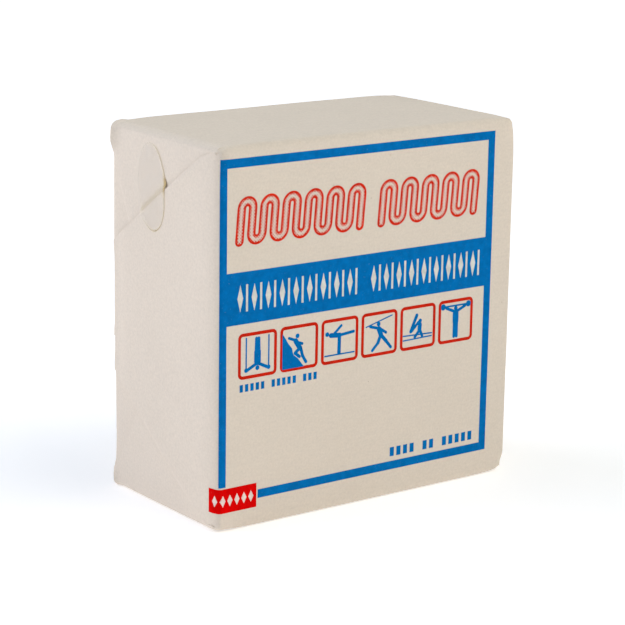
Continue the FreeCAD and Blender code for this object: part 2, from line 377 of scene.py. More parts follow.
def corner_tuck(side, before, after, centre, before_out, after_out):
    """The paper round one corner of the block, from the tube's rounded edge inwards under the flaps."""

    def place(bend, run, depth, outwards):
        behind, end = bend.place(run, depth)
        reach = max(0.0, LONG_EDGE - behind)
        across, up = (middle + reach * out for middle, out in zip(centre, outwards))
        return side * (bend.level - end), FRONT + across, up

    rows = []
    for step, outwards in enumerate(corner_directions(before_out, after_out)):
        bend = BENDS[before].between(BENDS[after], smooth(step / ARC_STEPS))
        if "front" in (before, after):
            bend = bend._replace(level=BENDS["front"].level)
        last = bend.share_behind(LONG_EDGE)
        runs = [JOIN - bend.level]
        runs += [bend.run_at(share) for share in np.linspace(0, last, ARC_STEPS + 3)]
        depths = [PAPER / 2 - swell(*place(bend, run, 0, outwards)) for run in runs]
        rows.append([settled(*place(bend, run, depth, outwards)) for run, depth in zip(runs, depths)])
    return rows


# ---- the flaps


class Fold(NamedTuple):
    """One folded side of a flap: straight for a start, then a line, with a strip turned under behind it."""

    edge: float
    start: float
    slope: float
    strip: float
    lift: float = 0.0

    def at(self, reach):
        return self.edge + self.slope * max(0.0, reach - self.start)

    def raised(self, reach, across):
        """How far the flap springs up beside this fold."""
        distance = abs(across - self.at(reach))
        return self.lift * smooth((reach - self.start) / 7) * math.exp(-((distance / 3.0) ** 2))


# Each flap's reach over the end, its low or front fold and its high or back fold
FLAPS = {
    "front": (34.8, Fold(LOW, 4.6, 0.736, 6.0, 0.16), Fold(HIGH, 3.55, -0.687, 6.0, 0.22)),
    "top": (26.0, Fold(NEAR, 1.3, 0.748, 3.0), Fold(REAR, 5.8, -0.463, 1.5, 0.16)),
    "bottom": (26.0, Fold(NEAR, 1.3, 0.748, 3.0), Fold(REAR, 2.75, -0.581, 1.5, 0.08)),
    "back": (24.0, Fold(LOW, 1.2, 1.0, 6.0), Fold(HIGH, 1.2, -1.0, 6.0)),
}


def flap_runs(wall):
    """The runs of a flap's rows, from the wall round the bend to the free edge."""
    bend = BENDS[wall]
    reach, low, high = FLAPS[wall]
    runs = [JOIN - bend.level]
    shares = list(np.linspace(0, 1, 2 * ARC_STEPS + 1))
    if wall in ("top", "bottom"):
        shares += [bend.share_behind(LONG_EDGE + more) for more in (0.0, 0.05, 0.1)]
    runs += [bend.run_at(share) for share in shares]
    runs += levels(bend.on_end, reach)[1:]
    runs += [fold.start for fold in (low, high)] + [fold.start + 0.25 for fold in (low, high)]
    return sorted(set(runs))


def unfolded(wall, run, across):
    """How far the top or bottom flap comes level with the front flap at the corner where both are one sheet."""
    fold = FLAPS["front"][2 if wall == "top" else 1]
    behind = BENDS[wall].place(run, 0)[0]
    line = LONG_EDGE - abs(fold.slope) * (fold.start - across)
    share = smooth((behind - line) / 0.3 + 0.5) * smooth((fold.start + 0.25 - across) / 0.25)
    share *= (1 - smooth((behind - LONG_EDGE - 0.02) / 0.06)) * smooth(run + 2)
    return share * (BENDS["front"].level - BENDS[wall].level)


def flap_point(wall, side, run, across, depth):
    """A point on a flap, with the spring of its folds."""
    reach = max(0.0, run)
    lift = sum(fold.raised(reach, across) for fold in FLAPS[wall][1:])
    if wall == "front":
        lift -= 0.28 * smooth((reach - 30.3) / 4)
    x, y, z = sheet_point(wall, side, run, across, depth, lift)
    if wall in ("top", "bottom"):
        x += side * unfolded(wall, run, across)
    return x, y, z


def flap_shares(wall):
    """Where the lines across a flap lie, from 0 at its low side to 1. The seam adds a step on the back."""
    low, high = (LOW, HIGH) if wall in ("front", "back") else (NEAR, REAR)
    shares = [(value - low) / (high - low) for value in levels(low, high)]
    if wall == "back":
        shares += [(LAP_EDGE - low) / (high - low), (LAP_EDGE - 0.02 - low) / (high - low)]
    if wall in ("top", "bottom"):
        shares += [value / (high - low) for value in np.arange(0.25, 4.6, 0.25)]
    return sorted(set(shares))


def make_flap(end, side, wall):
    """One end flap: a sheet from the wall round the bend, with a strip turned under along each fold."""
    builder = Builder()
    reach, low, high = FLAPS[wall]
    runs = flap_runs(wall)

    def row(run):
        folded = [FOLD_RADIUS if run > fold.start else 0.0 for fold in (low, high)]
        first = low.at(max(0.0, run)) + folded[0]
        last = high.at(max(0.0, run)) - folded[1]
        acrosses = [first + (last - first) * share for share in flap_shares(wall)]
        return [flap_point(wall, side, run, across, PAPER / 2) for across in acrosses]

    builder.grid([row(run) for run in runs])
    for fold, inwards in ((low, 1), (high, -1)):
        rows = []
        for run in (run for run in runs if run > fold.start):
            edge = fold.at(run)
            width = min(fold.strip, 0.3 + 0.9 * (run - fold.start), 0.85 * (high.at(run) - low.at(run)))
            section = []
            for angle in np.linspace(0, math.pi, 7):
                out = FOLD_RADIUS * (1 - math.sin(angle))
                section.append((edge + inwards * out, PAPER / 2 + FOLD_RADIUS * (1 - math.cos(angle))))
            for share in (0.35, 0.7, 1.0):
                across = edge + inwards * (FOLD_RADIUS + (width - FOLD_RADIUS) * share)
                section.append((across, PAPER / 2 + 2 * FOLD_RADIUS))
            rows.append([flap_point(wall, side, run, across, depth) for across, depth in section])
        builder.grid(rows)
    piece = builder.mesh_object(f"{end}_{wall}_flap_paper", lambda point: Vector((side, 0, 0)), PAPER)
    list(blend_line(wall, side))
    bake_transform(piece)
    return piece


def blend_line(wall, side):
    """Where a flap's paper begins to turn with it, and where it turns with it fully."""
    bend = BENDS[wall]
    margin = 0.15
    start = on_wall(wall, side, -bend.on_wall - margin, HEIGHT / 4, 0, bend)
    end = on_wall(wall, side, bend.on_end + margin, HEIGHT / 4, 0, bend)
    return [Vector(point) * MM for point in (start, end)]


# ---- the seals

SEAL_CENTRE = (21.6, 61.0)
SEAL_HALF = (4.7, 8.2)
SEAL_LEAN = math.radians(8.6)
SEAL_TIP = math.radians(177)  # where the film's rim runs over the fold, at its front side
FILM = 0.06
TENT = 1.3  # width of the film's slope from the flap's edge down to the layer behind


def above_fold(across, up):
    """How far a point of the end lies above the front flap's upper fold, square to it."""
    upper = FLAPS["front"][2]
    return (up - upper.at(across)) / math.hypot(1, upper.slope)


def end_surface(side, across, up):
    """How far the film's underside stands out from the middle of the block."""
    top = BENDS["top"].level - 0.02
    front = BENDS["front"].level
    x, y = side * front, FRONT + across
    lift = sum(fold.raised(across, up) for fold in FLAPS["front"][1:])
    share = smooth(above_fold(across, up) / TENT)
    return swell(x, y, up) + (front + lift) * (1 - share) + top * share


def seal_place(share, angle):
    """(from the front, up) of a point of the film, from its centre (share 0) to its rim (share 1)."""
    off_tip = math.remainder(angle - SEAL_TIP, 2 * math.pi)
    reach = share * (1 + 0.12 * share**8 * math.exp(-abs(off_tip / 0.14) ** 1.3))
    across = reach * SEAL_HALF[0] * math.cos(angle)
    along = reach * SEAL_HALF[1] * math.sin(angle)
    from_front = SEAL_CENTRE[0] + across * math.cos(SEAL_LEAN) + along * math.sin(SEAL_LEAN)
    return from_front, SEAL_CENTRE[1] - across * math.sin(SEAL_LEAN) + along * math.cos(SEAL_LEAN)


def seal_point(side, share, angle):
    """The middle of the film there, with its rim curling up on the side that looks to the front."""
    from_front, up = seal_place(share, angle)
    curl = 0.08 * smooth((share - 0.93) / 0.07) * smooth(math.cos(angle - math.radians(120)))
    x = side * (end_surface(side, from_front, up) + 0.03 + FILM / 2 + curl)
    return x, FRONT + from_front, up


def seal_gum(share, angle):
    """How yellow the gum is: most at the rim's front side, some where the film bridges the fold."""
    fold = above_fold(*seal_place(share, angle))
    bridge = 0.2 * smooth((fold + 0.3) / 0.6) * smooth((TENT + 0.8 - fold) / 1.6)
    front_side = smooth(0.5 - 1.1 * math.cos(angle - math.radians(25)))
    rim = smooth((share - 0.96) / 0.03) * (0.05 + 0.75 * front_side)
    off_tip = math.remainder(angle - SEAL_TIP, 2 * math.pi)
    return max(bridge, rim, 1.6 * smooth((share - 0.84) / 0.08) * math.exp(-((off_tip / 0.17) ** 2)))


def make_seal(end, side):
    """The clear oval film, tented over the edge of the flap that it holds down."""
    builder = Builder()
    around = np.linspace(0, 2 * math.pi, 97)[:-1]
    shares = [*np.linspace(0, 0.88, 12), 0.93, 0.96, 0.98, 0.99, 1.0]
    rows = [[seal_point(side, share, angle) for angle in around] for share in shares]
    values = [[seal_gum(share, angle) for angle in around] for share in shares]
    builder.grid(rows, closed=True, values=values)
    piece = builder.mesh_object(f"{end}_seal_film", lambda point: Vector((side, 0, 0)), FILM, 0.0, "gum")
    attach(piece, f"{end}_front")
    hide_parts(f"{end}_seal")
    return piece


# ---- the paste and the chalk block


def make_paste():
    """The paste line between the lap and the sheet's edge behind it."""
    builder = Builder()
    rows = []
    for z in levels(LAP_EDGE + 3, LAP_TOP - 2):
        row = []
        for x in levels(-JOIN + 2, JOIN - 2, 1.25):
            wander = 0.5 * noise.noise(Vector((x, z, 5)) / 4)
            depth = PAPER + 0.025 - swell(x, BACK, z)
            row.append((x, BACK - depth, z + wander))
        rows.append(row)
    builder.grid(rows)
    piece = builder.mesh_object("seam_paste", lambda point: Vector((0, 1, 0)), 0.04)
    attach(piece, "wrapped_block")
    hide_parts("seam_paste_line")
    return piece


def make_chalk():
    """The pressed block: a box with worn edges and a powdery, slightly uneven skin."""
    low, high = node_box("chalk_block")
    middle, half = (low + high) / 2, (high - low) / 2
    edge = 1.9
    builder = Builder()
    for axis in range(3):
        first, second = (axis + 1) % 3, (axis + 2) % 3
        for side in (-1, 1):
            rows = []
            for a in levels(-half[first], half[first], 1.3):
                row = []
                for b in levels(-half[second], half[second], 1.3):
                    point = np.zeros(3)
                    point[axis], point[first], point[second] = side * half[axis], a, b
                    row.append(settled(*(worn(point, half, edge) + middle)))
                rows.append(row)
            builder.grid(rows)
    piece = builder.plain_object("chalk_body")
    subdivide = piece.modifiers.new("fine", "SUBSURF")
    subdivide.levels = subdivide.render_levels = 1
    apply_modifiers(piece)
    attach(piece, "wrapped_block")
    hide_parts("chalk_block")
    return piece


def worn(point, half, edge):
    """A point of the box moved onto its rounded, crumbled skin."""
    core = np.clip(point, -(half - edge), half - edge)
    out = point - core
    length = np.linalg.norm(out)
    if length > 0:
        point = core + out / length * edge
    near_edge = min(1.0, max(0.0, length / edge - 1) * 2.4)
    crumbs = noise.noise(Vector(point) / 2.1) * 0.5 + 0.5
    pits = 0.05 * (noise.noise(Vector(point) / 6.0) * 0.5 + 0.5)
    return point - (out / max(length, 1e-6)) * (pits + 0.28 * near_edge * crumbs)


# ---- the print

INK_THICKNESS = 0.03
# How far each ink's face stands off the paper
INK, BAND_MARK_INK, TAG_INK, TAG_MARK_INK = 0.012, 0.034, 0.04, 0.06
FINE_COLUMNS = 1.5  # left of this, a rectangle bends round the corner with the paper


def print_point(x, z, height):
    """A point of the ink: x from the left edge of the front, where below 0 has turned the corner."""
    bend = BENDS["front"]
    run = -x if x >= bend.on_wall else bend.run_after(bend.on_wall - x)
    return sheet_point("front", -1, run, z, -height)


class Print:
    """Ink on the front: flat shapes in millimetres from the front's lower left corner."""

    def __init__(self, height):
        self.builder = Builder()
        self.height = height
        self.shapes = 0

    def rows(self, rows, closed=False, values=None):
        """Add rows of (x, z). Each shape lies a hair above the one before, so that none share a plane."""
        height = self.height + 0.002 * (self.shapes % 5)
        self.shapes += 1
        placed = [[print_point(x, z, height) for x, z in row] for row in rows]
        self.builder.grid(placed, closed, values)

    def rectangle(self, x0, z0, x1, z1):
        """A rectangle, with its columns closer together where it turns the corner."""
        turning = levels(x0, min(x1, FINE_COLUMNS), 0.15) if x0 < FINE_COLUMNS else [x0]
        columns = turning + levels(turning[-1], x1)[1:] if x1 > turning[-1] else turning
        self.rows([[(x, z) for x in columns] for z in levels(z0, z1)])

    def capsule(self, start, end, width):
        """A bar with round ends."""
        self.rows([capsule_outline(start, end, width / 2 * ring) for ring in (0.0, 1.0)], closed=True)

    def ribbon(self, path, width, lean):
        """A band with round ends along a path. Its values rise from 0 at the outline to 1 in the middle."""
        ahead = np.gradient(np.array(path), axis=0)
        ahead /= np.linalg.norm(ahead, axis=1)[:, None]
        round_end = (0.25, 0.5, 0.7, 0.87, 0.97, 1.0)
        stations = [(path[0], ahead[0], -past) for past in reversed(round_end)]
        stations += [(place, heading, 0.0) for place, heading in zip(path, ahead)]
        stations += [(path[-1], ahead[-1], past) for past in round_end]
        rows, values = [], []
        for share in np.linspace(-1, 1, 11):
            row, inside = [], []
            for (x, z), (dx, dz), past in stations:
                out = share * math.sqrt(1 - past * past)
                x += width / 2 * (past * dx - out * dz)
                z += width / 2 * (past * dz + out * dx)
                row.append((x + lean * (z - path[0][1]), z))
                inside.append(max(0.0, 1 - math.hypot(past, out)))
            rows.append(row)
            values.append(inside)
        self.rows(rows, values=values)

    def lozenge(self, x, z, width, height):
        """A slim diamond standing on its tip."""
        rows = []
        for share in np.linspace(-1, 1, 9):
            half = max(0.01, width / 2 * (1 - abs(share)))
            rows.append([(x + half * side, z + share * height / 2) for side in np.linspace(-1, 1, 7)])
        self.rows(rows)

    def under(self, profile, base):
        """The area between a base line and a profile of (x, z) points."""
        xs, zs = zip(*profile)
        columns = levels(xs[0], xs[-1], 0.25)
        rows = [
            [(x, base + (float(np.interp(x, xs, zs)) - base) * share) for x in columns]
            for share in np.linspace(0, 1, 6)
        ]
        self.rows(rows)

    def frame(self, x0, z0, x1, z1, line, corner):
        """A square line with rounded corners."""
        loops = [rounded_outline(x0 + i, z0 + i, x1 - i, z1 - i, corner - i) for i in (0, line)]
        self.rows(loops, closed=True)

    def piece(self, name, turns=False, values_name=None):
        """The ink as a piece. Without turns it is attached to the wrapped block; with turns its place is baked
        into its mesh.
        """
        outwards = Vector((0, -1, 0))
        piece = self.builder.mesh_object(name, lambda point: outwards, INK_THICKNESS, -1.0, values_name)
        if turns:
            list(blend_line("front", -1))
            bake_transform(piece)
        else:
            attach(piece, "wrapped_block")
        return piece


def capsule_outline(start, end, radius):
    """Points round a bar with round ends."""
    start, end = np.array(start), np.array(end)
    length = math.dist(start, end)
    heading = math.atan2(end[1] - start[1], end[0] - start[0])
    sides = max(1, math.ceil(length / STEP))
    points = []
    for first, last, square in ((start, end, heading - math.pi / 2), (end, start, heading + math.pi / 2)):
        along = [(first + (last - first) * step / sides, square) for step in range(sides)]
        round_end = [(last, square + math.pi * step / 8) for step in range(8)]
        for (x, z), angle in along + round_end:
            points.append((float(x) + radius * math.cos(angle), float(z) + radius * math.sin(angle)))
    return points


def rounded_outline(x0, z0, x1, z1, radius):
    """Points round a rectangle with rounded corners, with points along its sides."""
    left, right, low, high = x0 + radius, x1 - radius, z0 + radius, z1 - radius
    arcs = []
    for quarter, (x, z) in enumerate(((right, high), (left, high), (left, low), (right, low))):
        angles = (quarter + np.linspace(0, 1, 6)) * math.pi / 2
        arcs.append(np.column_stack((x + radius * np.cos(angles), z + radius * np.sin(angles))))
    points = []
    for arc, after in zip(arcs, arcs[1:] + arcs[:1]):
        side = [arc[-1] + (after[0] - arc[-1]) * share for share in np.linspace(0, 1, 9)[1:-1]]
        points += [(float(x), float(z)) for x, z in (*arc, *side)]
    return points


# Layout of the print, from the front's lower left corner
BORDER = {"left": 0.62, "inner": 2.07, "right": 64.28, "low": 5.35, "high": 69.1, "line": 1.65}
BAND = (38.8, 48.45)
TITLE = (53.15, 62.15)
TITLE_GROUPS = ((3.8, 32.7, 12), (35.9, 60.2, 10))  # left, right and uprights of each wavy ribbon
TITLE_WIDTH = 1.85
TITLE_LEAN = 0.083
BAND_MARKS = (41.1, 46.1)
BAND_GROUPS = ((4.0, 31.85, 9), (34.35, 61.65, 9))  # left, right and number of marks
SQUARE, SQUARE_LINE, SQUARE_CORNER = 8.6, 0.62, 1.0
SQUARE_BASE = 28.45
SQUARE_LEFTS = [4.62 + 9.35 * number for number in range(6)]
TAG = {"left": -1.6, "right": 8.9, "low": 3.75, "high": 8.35}
TAG_GAP = 0.3  # paper left bare between the tag and the blue line


def make_border():
    """The blue line round the front and the blue band across it."""
    ink = Print(INK)
    left, inner, right, low, high, line = BORDER.values()
    ink.rectangle(left, TAG["high"] + TAG_GAP, inner, high)
    ink.rectangle(right - line, low, right, high)
    ink.rectangle(inner, high - line, right - line, high)
    ink.rectangle(TAG["right"] + TAG_GAP, low, right - line, low + line)
    ink.rectangle(inner, BAND[0], right - line, BAND[1])
    return ink.piece("blue_border_print", turns=True)


def make_title():
    """Two wavy ribbons where the title stands: an outline, and dots that thin out towards the middle."""
    ink = Print(INK)
    half = TITLE_WIDTH / 2
    for first, last, count in TITLE_GROUPS:
        step = (last - first - TITLE_WIDTH) / (count - 1)
        radius = step / 2
        low, high = TITLE[0] + half, TITLE[1] - half - radius
        path = []
        for number in range(count):
            x = first + half + step * number
            foot = low if number in (0, count - 1) else low + radius
            upright = [(x, float(z)) for z in levels(foot, high, 0.8)]
            rising = number % 2 == 0
            path += upright if rising else upright[::-1]
            if number < count - 1:
                centre, turn = (high, radius) if rising else (foot, -radius)
                for angle in np.linspace(math.pi, 0, 11)[1:-1]:
                    path.append((x + radius + radius * math.cos(angle), centre + turn * math.sin(angle)))
        ink.ribbon(path, TITLE_WIDTH, TITLE_LEAN)
    return ink.piece("title_print", values_name="inside")


def make_band_marks():
    """Pale slim diamonds and bars on the band, in the rhythm of a line of capitals."""
    ink = Print(BAND_MARK_INK)
    base, top = BAND_MARKS
    middle, tall = (base + top) / 2, top - base
    for first, last, count in BAND_GROUPS:
        pitch = (last - first) / count
        for number in range(count):
            x = first + pitch * (number + 0.5)
            ink.lozenge(x - pitch * 0.18, middle, 1.25, tall)
            ink.rectangle(x + pitch * 0.22, base, x + pitch * 0.22 + 0.45, top)
    return ink.piece("band_marks_print")


def make_squares():
    """The six red squares round the sports figures."""
    ink = Print(INK)
    for left in SQUARE_LEFTS:
        far = left + SQUARE
        ink.frame(left, SQUARE_BASE, far, SQUARE_BASE + SQUARE, SQUARE_LINE, SQUARE_CORNER)
    return ink.piece("red_squares_print")


# Sports figures of plain bars and dots, inside a square that is 8.6 mm wide.
# A bar is (x, z, x, z, width), a dot is (x, z, radius). A bar is printed a little fatter than it says.
FIGURES = (
    {  # upside down on the rings
        "bars": (
            (1.8, 7.6, 1.8, 2.0, 0.18), (6.8, 7.6, 6.8, 2.0, 0.18),
            (4.3, 2.7, 2.0, 1.6, 0.45), (4.3, 2.7, 6.6, 1.6, 0.45),
            (4.3, 3.0, 4.3, 4.8, 1.2), (3.98, 4.8, 4.05, 7.3, 0.5),
            (4.62, 4.8, 4.55, 7.3, 0.5),
        ),
        "dots": ((4.3, 1.8, 0.45), (1.8, 1.6, 0.42), (6.8, 1.6, 0.42)),
    },
    {  # climbing a slope
        "bars": (
            (3.5, 5.6, 4.5, 4.1, 0.8), (3.5, 5.7, 2.0, 6.3, 0.38),
            (3.8, 5.3, 5.0, 4.9, 0.38), (4.4, 4.1, 3.4, 3.3, 0.5),
            (3.4, 3.3, 4.4, 2.5, 0.45), (4.7, 4.0, 5.1, 2.6, 0.5),
            (5.1, 2.6, 5.9, 1.3, 0.45),
        ),
        "dots": ((3.9, 6.5, 0.45),),
        "slope": ((0.5, 7.3), (1.3, 6.2), (1.9, 5.2), (2.7, 4.3), (3.0, 3.0), (4.0, 2.3), (5.4, 0.55)),
    },
    {  # balancing
        "bars": (
            (0.9, 1.65, 7.7, 1.65, 0.16), (4.2, 5.2, 4.15, 1.9, 0.62),
            (2.2, 5.5, 4.3, 5.3, 0.72), (4.3, 5.3, 7.5, 5.6, 0.42),
            (2.7, 5.5, 4.6, 7.1, 0.38),
        ),
        "dots": ((1.35, 5.8, 0.45),),
    },
    {  # throwing a spear
        "bars": (
            (1.1, 5.9, 7.3, 7.5, 0.14), (4.2, 5.2, 4.7, 4.0, 0.85),
            (4.2, 5.3, 2.1, 5.9, 0.4), (4.5, 5.2, 5.9, 4.3, 0.4),
            (4.6, 3.9, 4.0, 2.5, 0.55), (4.0, 2.5, 2.7, 1.2, 0.45),
            (4.8, 3.9, 6.0, 2.6, 0.55), (6.0, 2.6, 7.1, 1.3, 0.45),
        ),
        "dots": ((4.1, 6.15, 0.45),),
    },
    {  # on the water
        "bars": (
            (0.8, 2.9, 7.7, 2.7, 0.15), (0.8, 2.0, 7.7, 2.15, 0.15),
            (2.6, 3.6, 4.0, 6.6, 0.55), (2.9, 3.7, 4.4, 5.2, 0.4),
            (4.8, 4.7, 4.7, 3.6, 0.75), (4.6, 3.5, 3.6, 2.4, 0.45),
            (4.9, 3.5, 5.4, 2.4, 0.45),
        ),
        "dots": ((4.85, 5.45, 0.42),),
    },
    {  # lifting a bar
        "bars": (
            (1.2, 7.3, 7.4, 7.3, 0.2), (4.3, 6.0, 2.0, 7.0, 0.42),
            (4.3, 6.0, 6.6, 7.0, 0.42), (4.3, 5.7, 4.3, 4.2, 1.2),
            (3.98, 4.3, 3.98, 1.2, 0.5), (4.62, 4.3, 4.62, 1.2, 0.5),
        ),
        "dots": ((4.3, 6.75, 0.45), (1.15, 7.3, 0.62), (7.45, 7.3, 0.62)),
    },
)


def make_figures():
    """The sports figures in blue."""
    ink = Print(INK)
    for left, figure in zip(SQUARE_LEFTS, FIGURES):
        for x0, z0, x1, z1, width in figure["bars"]:
            start, end = (left + x0, SQUARE_BASE + z0), (left + x1, SQUARE_BASE + z1)
            ink.capsule(start, end, 0.1 + 1.15 * width)
        for x, z, radius in figure["dots"]:
            centre = (left + x, SQUARE_BASE + z)
            ink.capsule(centre, centre, 2 * radius)
        if "slope" in figure:
            profile = [(left + x, SQUARE_BASE + z) for x, z in figure["slope"]]
            ink.under(profile, SQUARE_BASE + 0.5)
    return ink.piece("sports_figures_print")


def make_small_marks():
    """Two rows of small blue blocks where the small print stands."""
    ink = Print(INK)
    for first, last, base, high, groups in (
        (5.0, 22.85, 26.1, 27.5, (5, 5, 3)),
        (40.2, 61.3, 7.95, 9.75, (4, 2, 5)),
    ):
        count = sum(groups) + len(groups) - 1
        pitch = (last - first) / count
        place = 0
        for group in groups:
            for _ in range(group):
                x = first + pitch * place
                ink.rectangle(x, base, x + pitch * 0.62, high)
                place += 1
            place += 1
    return ink.piece("small_marks_print")


def make_tag():
    """The red tag that runs round the lower left corner."""
    ink = Print(TAG_INK)
    ink.rectangle(TAG["left"], TAG["low"], TAG["right"], TAG["high"])
    return ink.piece("red_tag_print", turns=True)


def make_tag_marks():
    """Pale diamonds on the red tag."""
    ink = Print(TAG_MARK_INK)
    middle = (TAG["low"] + TAG["high"]) / 2
    for number in range(6):
        ink.lozenge(-0.1 + 1.55 * number, middle, 1.15, 2.2)
    return ink.piece("tag_marks_print", turns=True)


# ---- materials


class Nodes:
    """A short way to write a material's nodes."""

    def __init__(self, name):
        self.material = bpy.data.materials.new(name)
        self.material.use_nodes = True
        self.tree = self.material.node_tree
        self.tree.nodes.clear()
        self.shader = self.add("BsdfPrincipled")
        self.link(self.shader.outputs[0], self.add("OutputMaterial").inputs[0])
        self.place = self.add("TexCoord").outputs["Object"]

    def add(self, kind):
        return self.tree.nodes.new("ShaderNode" + kind)

    def attribute(self, name):
        """The piece's own values of this name."""
        node = self.add("Attribute")
        node.attribute_name = name
        return node.outputs["Fac"]

    def link(self, source, target):
        if isinstance(source, bpy.types.NodeSocket):
            self.tree.links.new(source, target)
        else:
            target.default_value = source

    def noise(self, scale, detail=4.0, stretch=None):
        """Noise in the row frame. The scale is in features per metre."""
        node = self.add("TexNoise")
        node.inputs["Scale"].default_value = scale
        node.inputs["Detail"].default_value = detail
        place = self.place
        if stretch:
            mapping = self.add("Mapping")
            mapping.inputs["Scale"].default_value = stretch
            mapping.inputs["Rotation"].default_value = (0.6, 0.5, 0.4)
            self.link(self.place, mapping.inputs["Vector"])
            place = mapping.outputs[0]
        self.link(place, node.inputs["Vector"])
        return node.outputs["Fac"]

    def cloud(self, scale, detail, low, high):
        """Noise that wanders from low to high."""
        return self.ramp(self.noise(scale, detail), 0.3, 0.7, low, high)

    def specks(self, scale, size, share):
        """Sparse dots: 1 inside a dot. Share is how many of the cells have one."""
        node = self.add("TexVoronoi")
        node.inputs["Scale"].default_value = scale
        self.link(self.place, node.inputs["Vector"])
        near = self.ramp(node.outputs["Distance"], size, size * 0.5)
        pick = self.add("SeparateColor")
        self.link(node.outputs["Color"], pick.inputs[0])
        chosen = self.ramp(pick.outputs[0], 1 - share, 1 - share + 0.01)
        return self.math("MULTIPLY", near, chosen)

    def math(self, operation, first, second):
        node = self.add("Math")
        node.operation = operation
        self.link(first, node.inputs[0])
        self.link(second, node.inputs[1])
        return node.outputs[0]

    def ramp(self, value, zero, one, low=0.0, high=1.0):
        """A value spread from low, where it equals zero, to high, where it equals one."""
        node = self.add("MapRange")
        self.link(value, node.inputs["Value"])
        for name, number in (("From Min", zero), ("From Max", one), ("To Min", low), ("To Max", high)):
            node.inputs[name].default_value = number
        return node.outputs[0]

    def mix(self, share, first, second):
        """A colour between two colours."""
        node = self.add("Mix")
        node.data_type = "RGBA"
        self.link(share, node.inputs[0])
        for source, target in ((first, node.inputs[6]), (second, node.inputs[7])):
            self.link((*source, 1.0) if isinstance(source, tuple) else source, target)
        return node.outputs[2]

    def scaled(self, colour, factor):
        """A colour times a value."""
        node = self.add("VectorMath")
        node.operation = "SCALE"
        self.link(colour, node.inputs[0])
        self.link(factor, node.inputs["Scale"])
        return node.outputs[0]

    def bump(self, height, distance, strength=1.0, normal=None):
        node = self.add("Bump")
        node.inputs["Strength"].default_value = strength
        node.inputs["Distance"].default_value = distance
        self.link(height, node.inputs["Height"])
        if normal:
            self.link(normal, node.inputs["Normal"])
        return node.outputs[0]

    def finish(self, colour, roughness, normal, specular=0.3):
        self.link(colour, self.shader.inputs["Base Color"])
        self.link(roughness, self.shader.inputs["Roughness"])
        self.link(normal, self.shader.inputs["Normal"])
        self.shader.inputs["Specular IOR Level"].default_value = specular
        return self.material


PAPER_COLOUR = (0.73, 0.655, 0.565)
BLUE = (0.0, 0.16, 0.475)
RED = (0.735, 0.0, 0.0)


def paper_colour(nodes):
    """Unbleached wrapping paper: cloudy, with fine fibres and a few brown specks."""
    cloud = nodes.cloud(60, 2, 0.988, 1.01)
    grain = nodes.cloud(2300, 4, 0.955, 1.04)
    fibres = nodes.ramp(nodes.noise(1500, 2, (0.3, 1.0, 1.4)), 0.35, 0.65, 0.985, 1.012)
    tone = nodes.math("MULTIPLY", nodes.math("MULTIPLY", cloud, grain), fibres)
    colour = nodes.scaled(nodes.mix(nodes.noise(900, 2), PAPER_COLOUR, (0.738, 0.653, 0.556)), tone)
    brown = nodes.math("MULTIPLY", nodes.specks(330, 0.05, 0.3), 0.5)
    colour = nodes.mix(brown, colour, (0.30, 0.20, 0.11))
    tan = nodes.math("MULTIPLY", nodes.specks(240, 0.07, 0.3), 0.2)
    return nodes.mix(tan, colour, (0.50, 0.36, 0.20))


def paper_bump(nodes):
    """Fibres and soft cockling."""
    fine = nodes.bump(nodes.noise(2300, 6), 0.00005, 0.35)
    return nodes.bump(nodes.noise(110, 3), 0.0004, 0.07, fine)


def paper_material():
    nodes = Nodes("wrapping_paper")
    roughness = nodes.cloud(500, 3, 0.82, 0.94)
    return nodes.finish(paper_colour(nodes), roughness, paper_bump(nodes), 0.25)


def ink_material(name, colour, worn_share):
    """Ink soaked into the paper: a little uneven, with the paper showing through in flecks."""
    nodes = Nodes(name)
    tone = nodes.cloud(900, 5, 0.88, 1.12)
    flecks = nodes.ramp(nodes.noise(3000, 2), 0.66, 0.8, 0.0, worn_share)
    inked = nodes.scaled(nodes.mix(nodes.noise(240, 2), colour, tuple(c * 0.94 for c in colour)), tone)
    roughness = nodes.cloud(700, 3, 0.75, 0.9)
    return nodes.finish(nodes.mix(flecks, inked, PAPER_COLOUR), roughness, paper_bump(nodes), 0.03)


def tube_material():
    """The title's red: solid along each outline, then dots that shrink towards the middle."""
    nodes = Nodes("red_halftone")
    depth = nodes.attribute("inside")
    pitch = 0.42 * MM
    split = nodes.add("SeparateXYZ")
    nodes.link(nodes.place, split.inputs[0])
    waves = []
    for sign in (1, -1):
        diagonal = nodes.math("ADD", split.outputs["X"], nodes.math("MULTIPLY", split.outputs["Z"], sign))
        turns = nodes.math("MULTIPLY", diagonal, 2 * math.pi / (pitch * math.sqrt(2)))
        waves.append(nodes.math("COSINE", turns, 0.0))
    screen = nodes.math("ADD", nodes.math("MULTIPLY", nodes.math("ADD", *waves), 0.25), 0.5)
    cover = nodes.ramp(depth, 0.35, 1.0, 0.85, 0.05)
    dots = nodes.ramp(nodes.math("SUBTRACT", cover, screen), -0.08, 0.08)
    outline = nodes.ramp(depth, 0.44, 0.36)
    tone = nodes.cloud(900, 5, 0.9, 1.1)
    inked = nodes.scaled(nodes.mix(nodes.noise(240, 2), (0.70, 0.022, 0.003), (0.58, 0.015, 0.004)), tone)
    colour = nodes.mix(nodes.math("MAXIMUM", dots, outline), paper_colour(nodes), inked)
    return nodes.finish(colour, 0.8, paper_bump(nodes), 0.05)


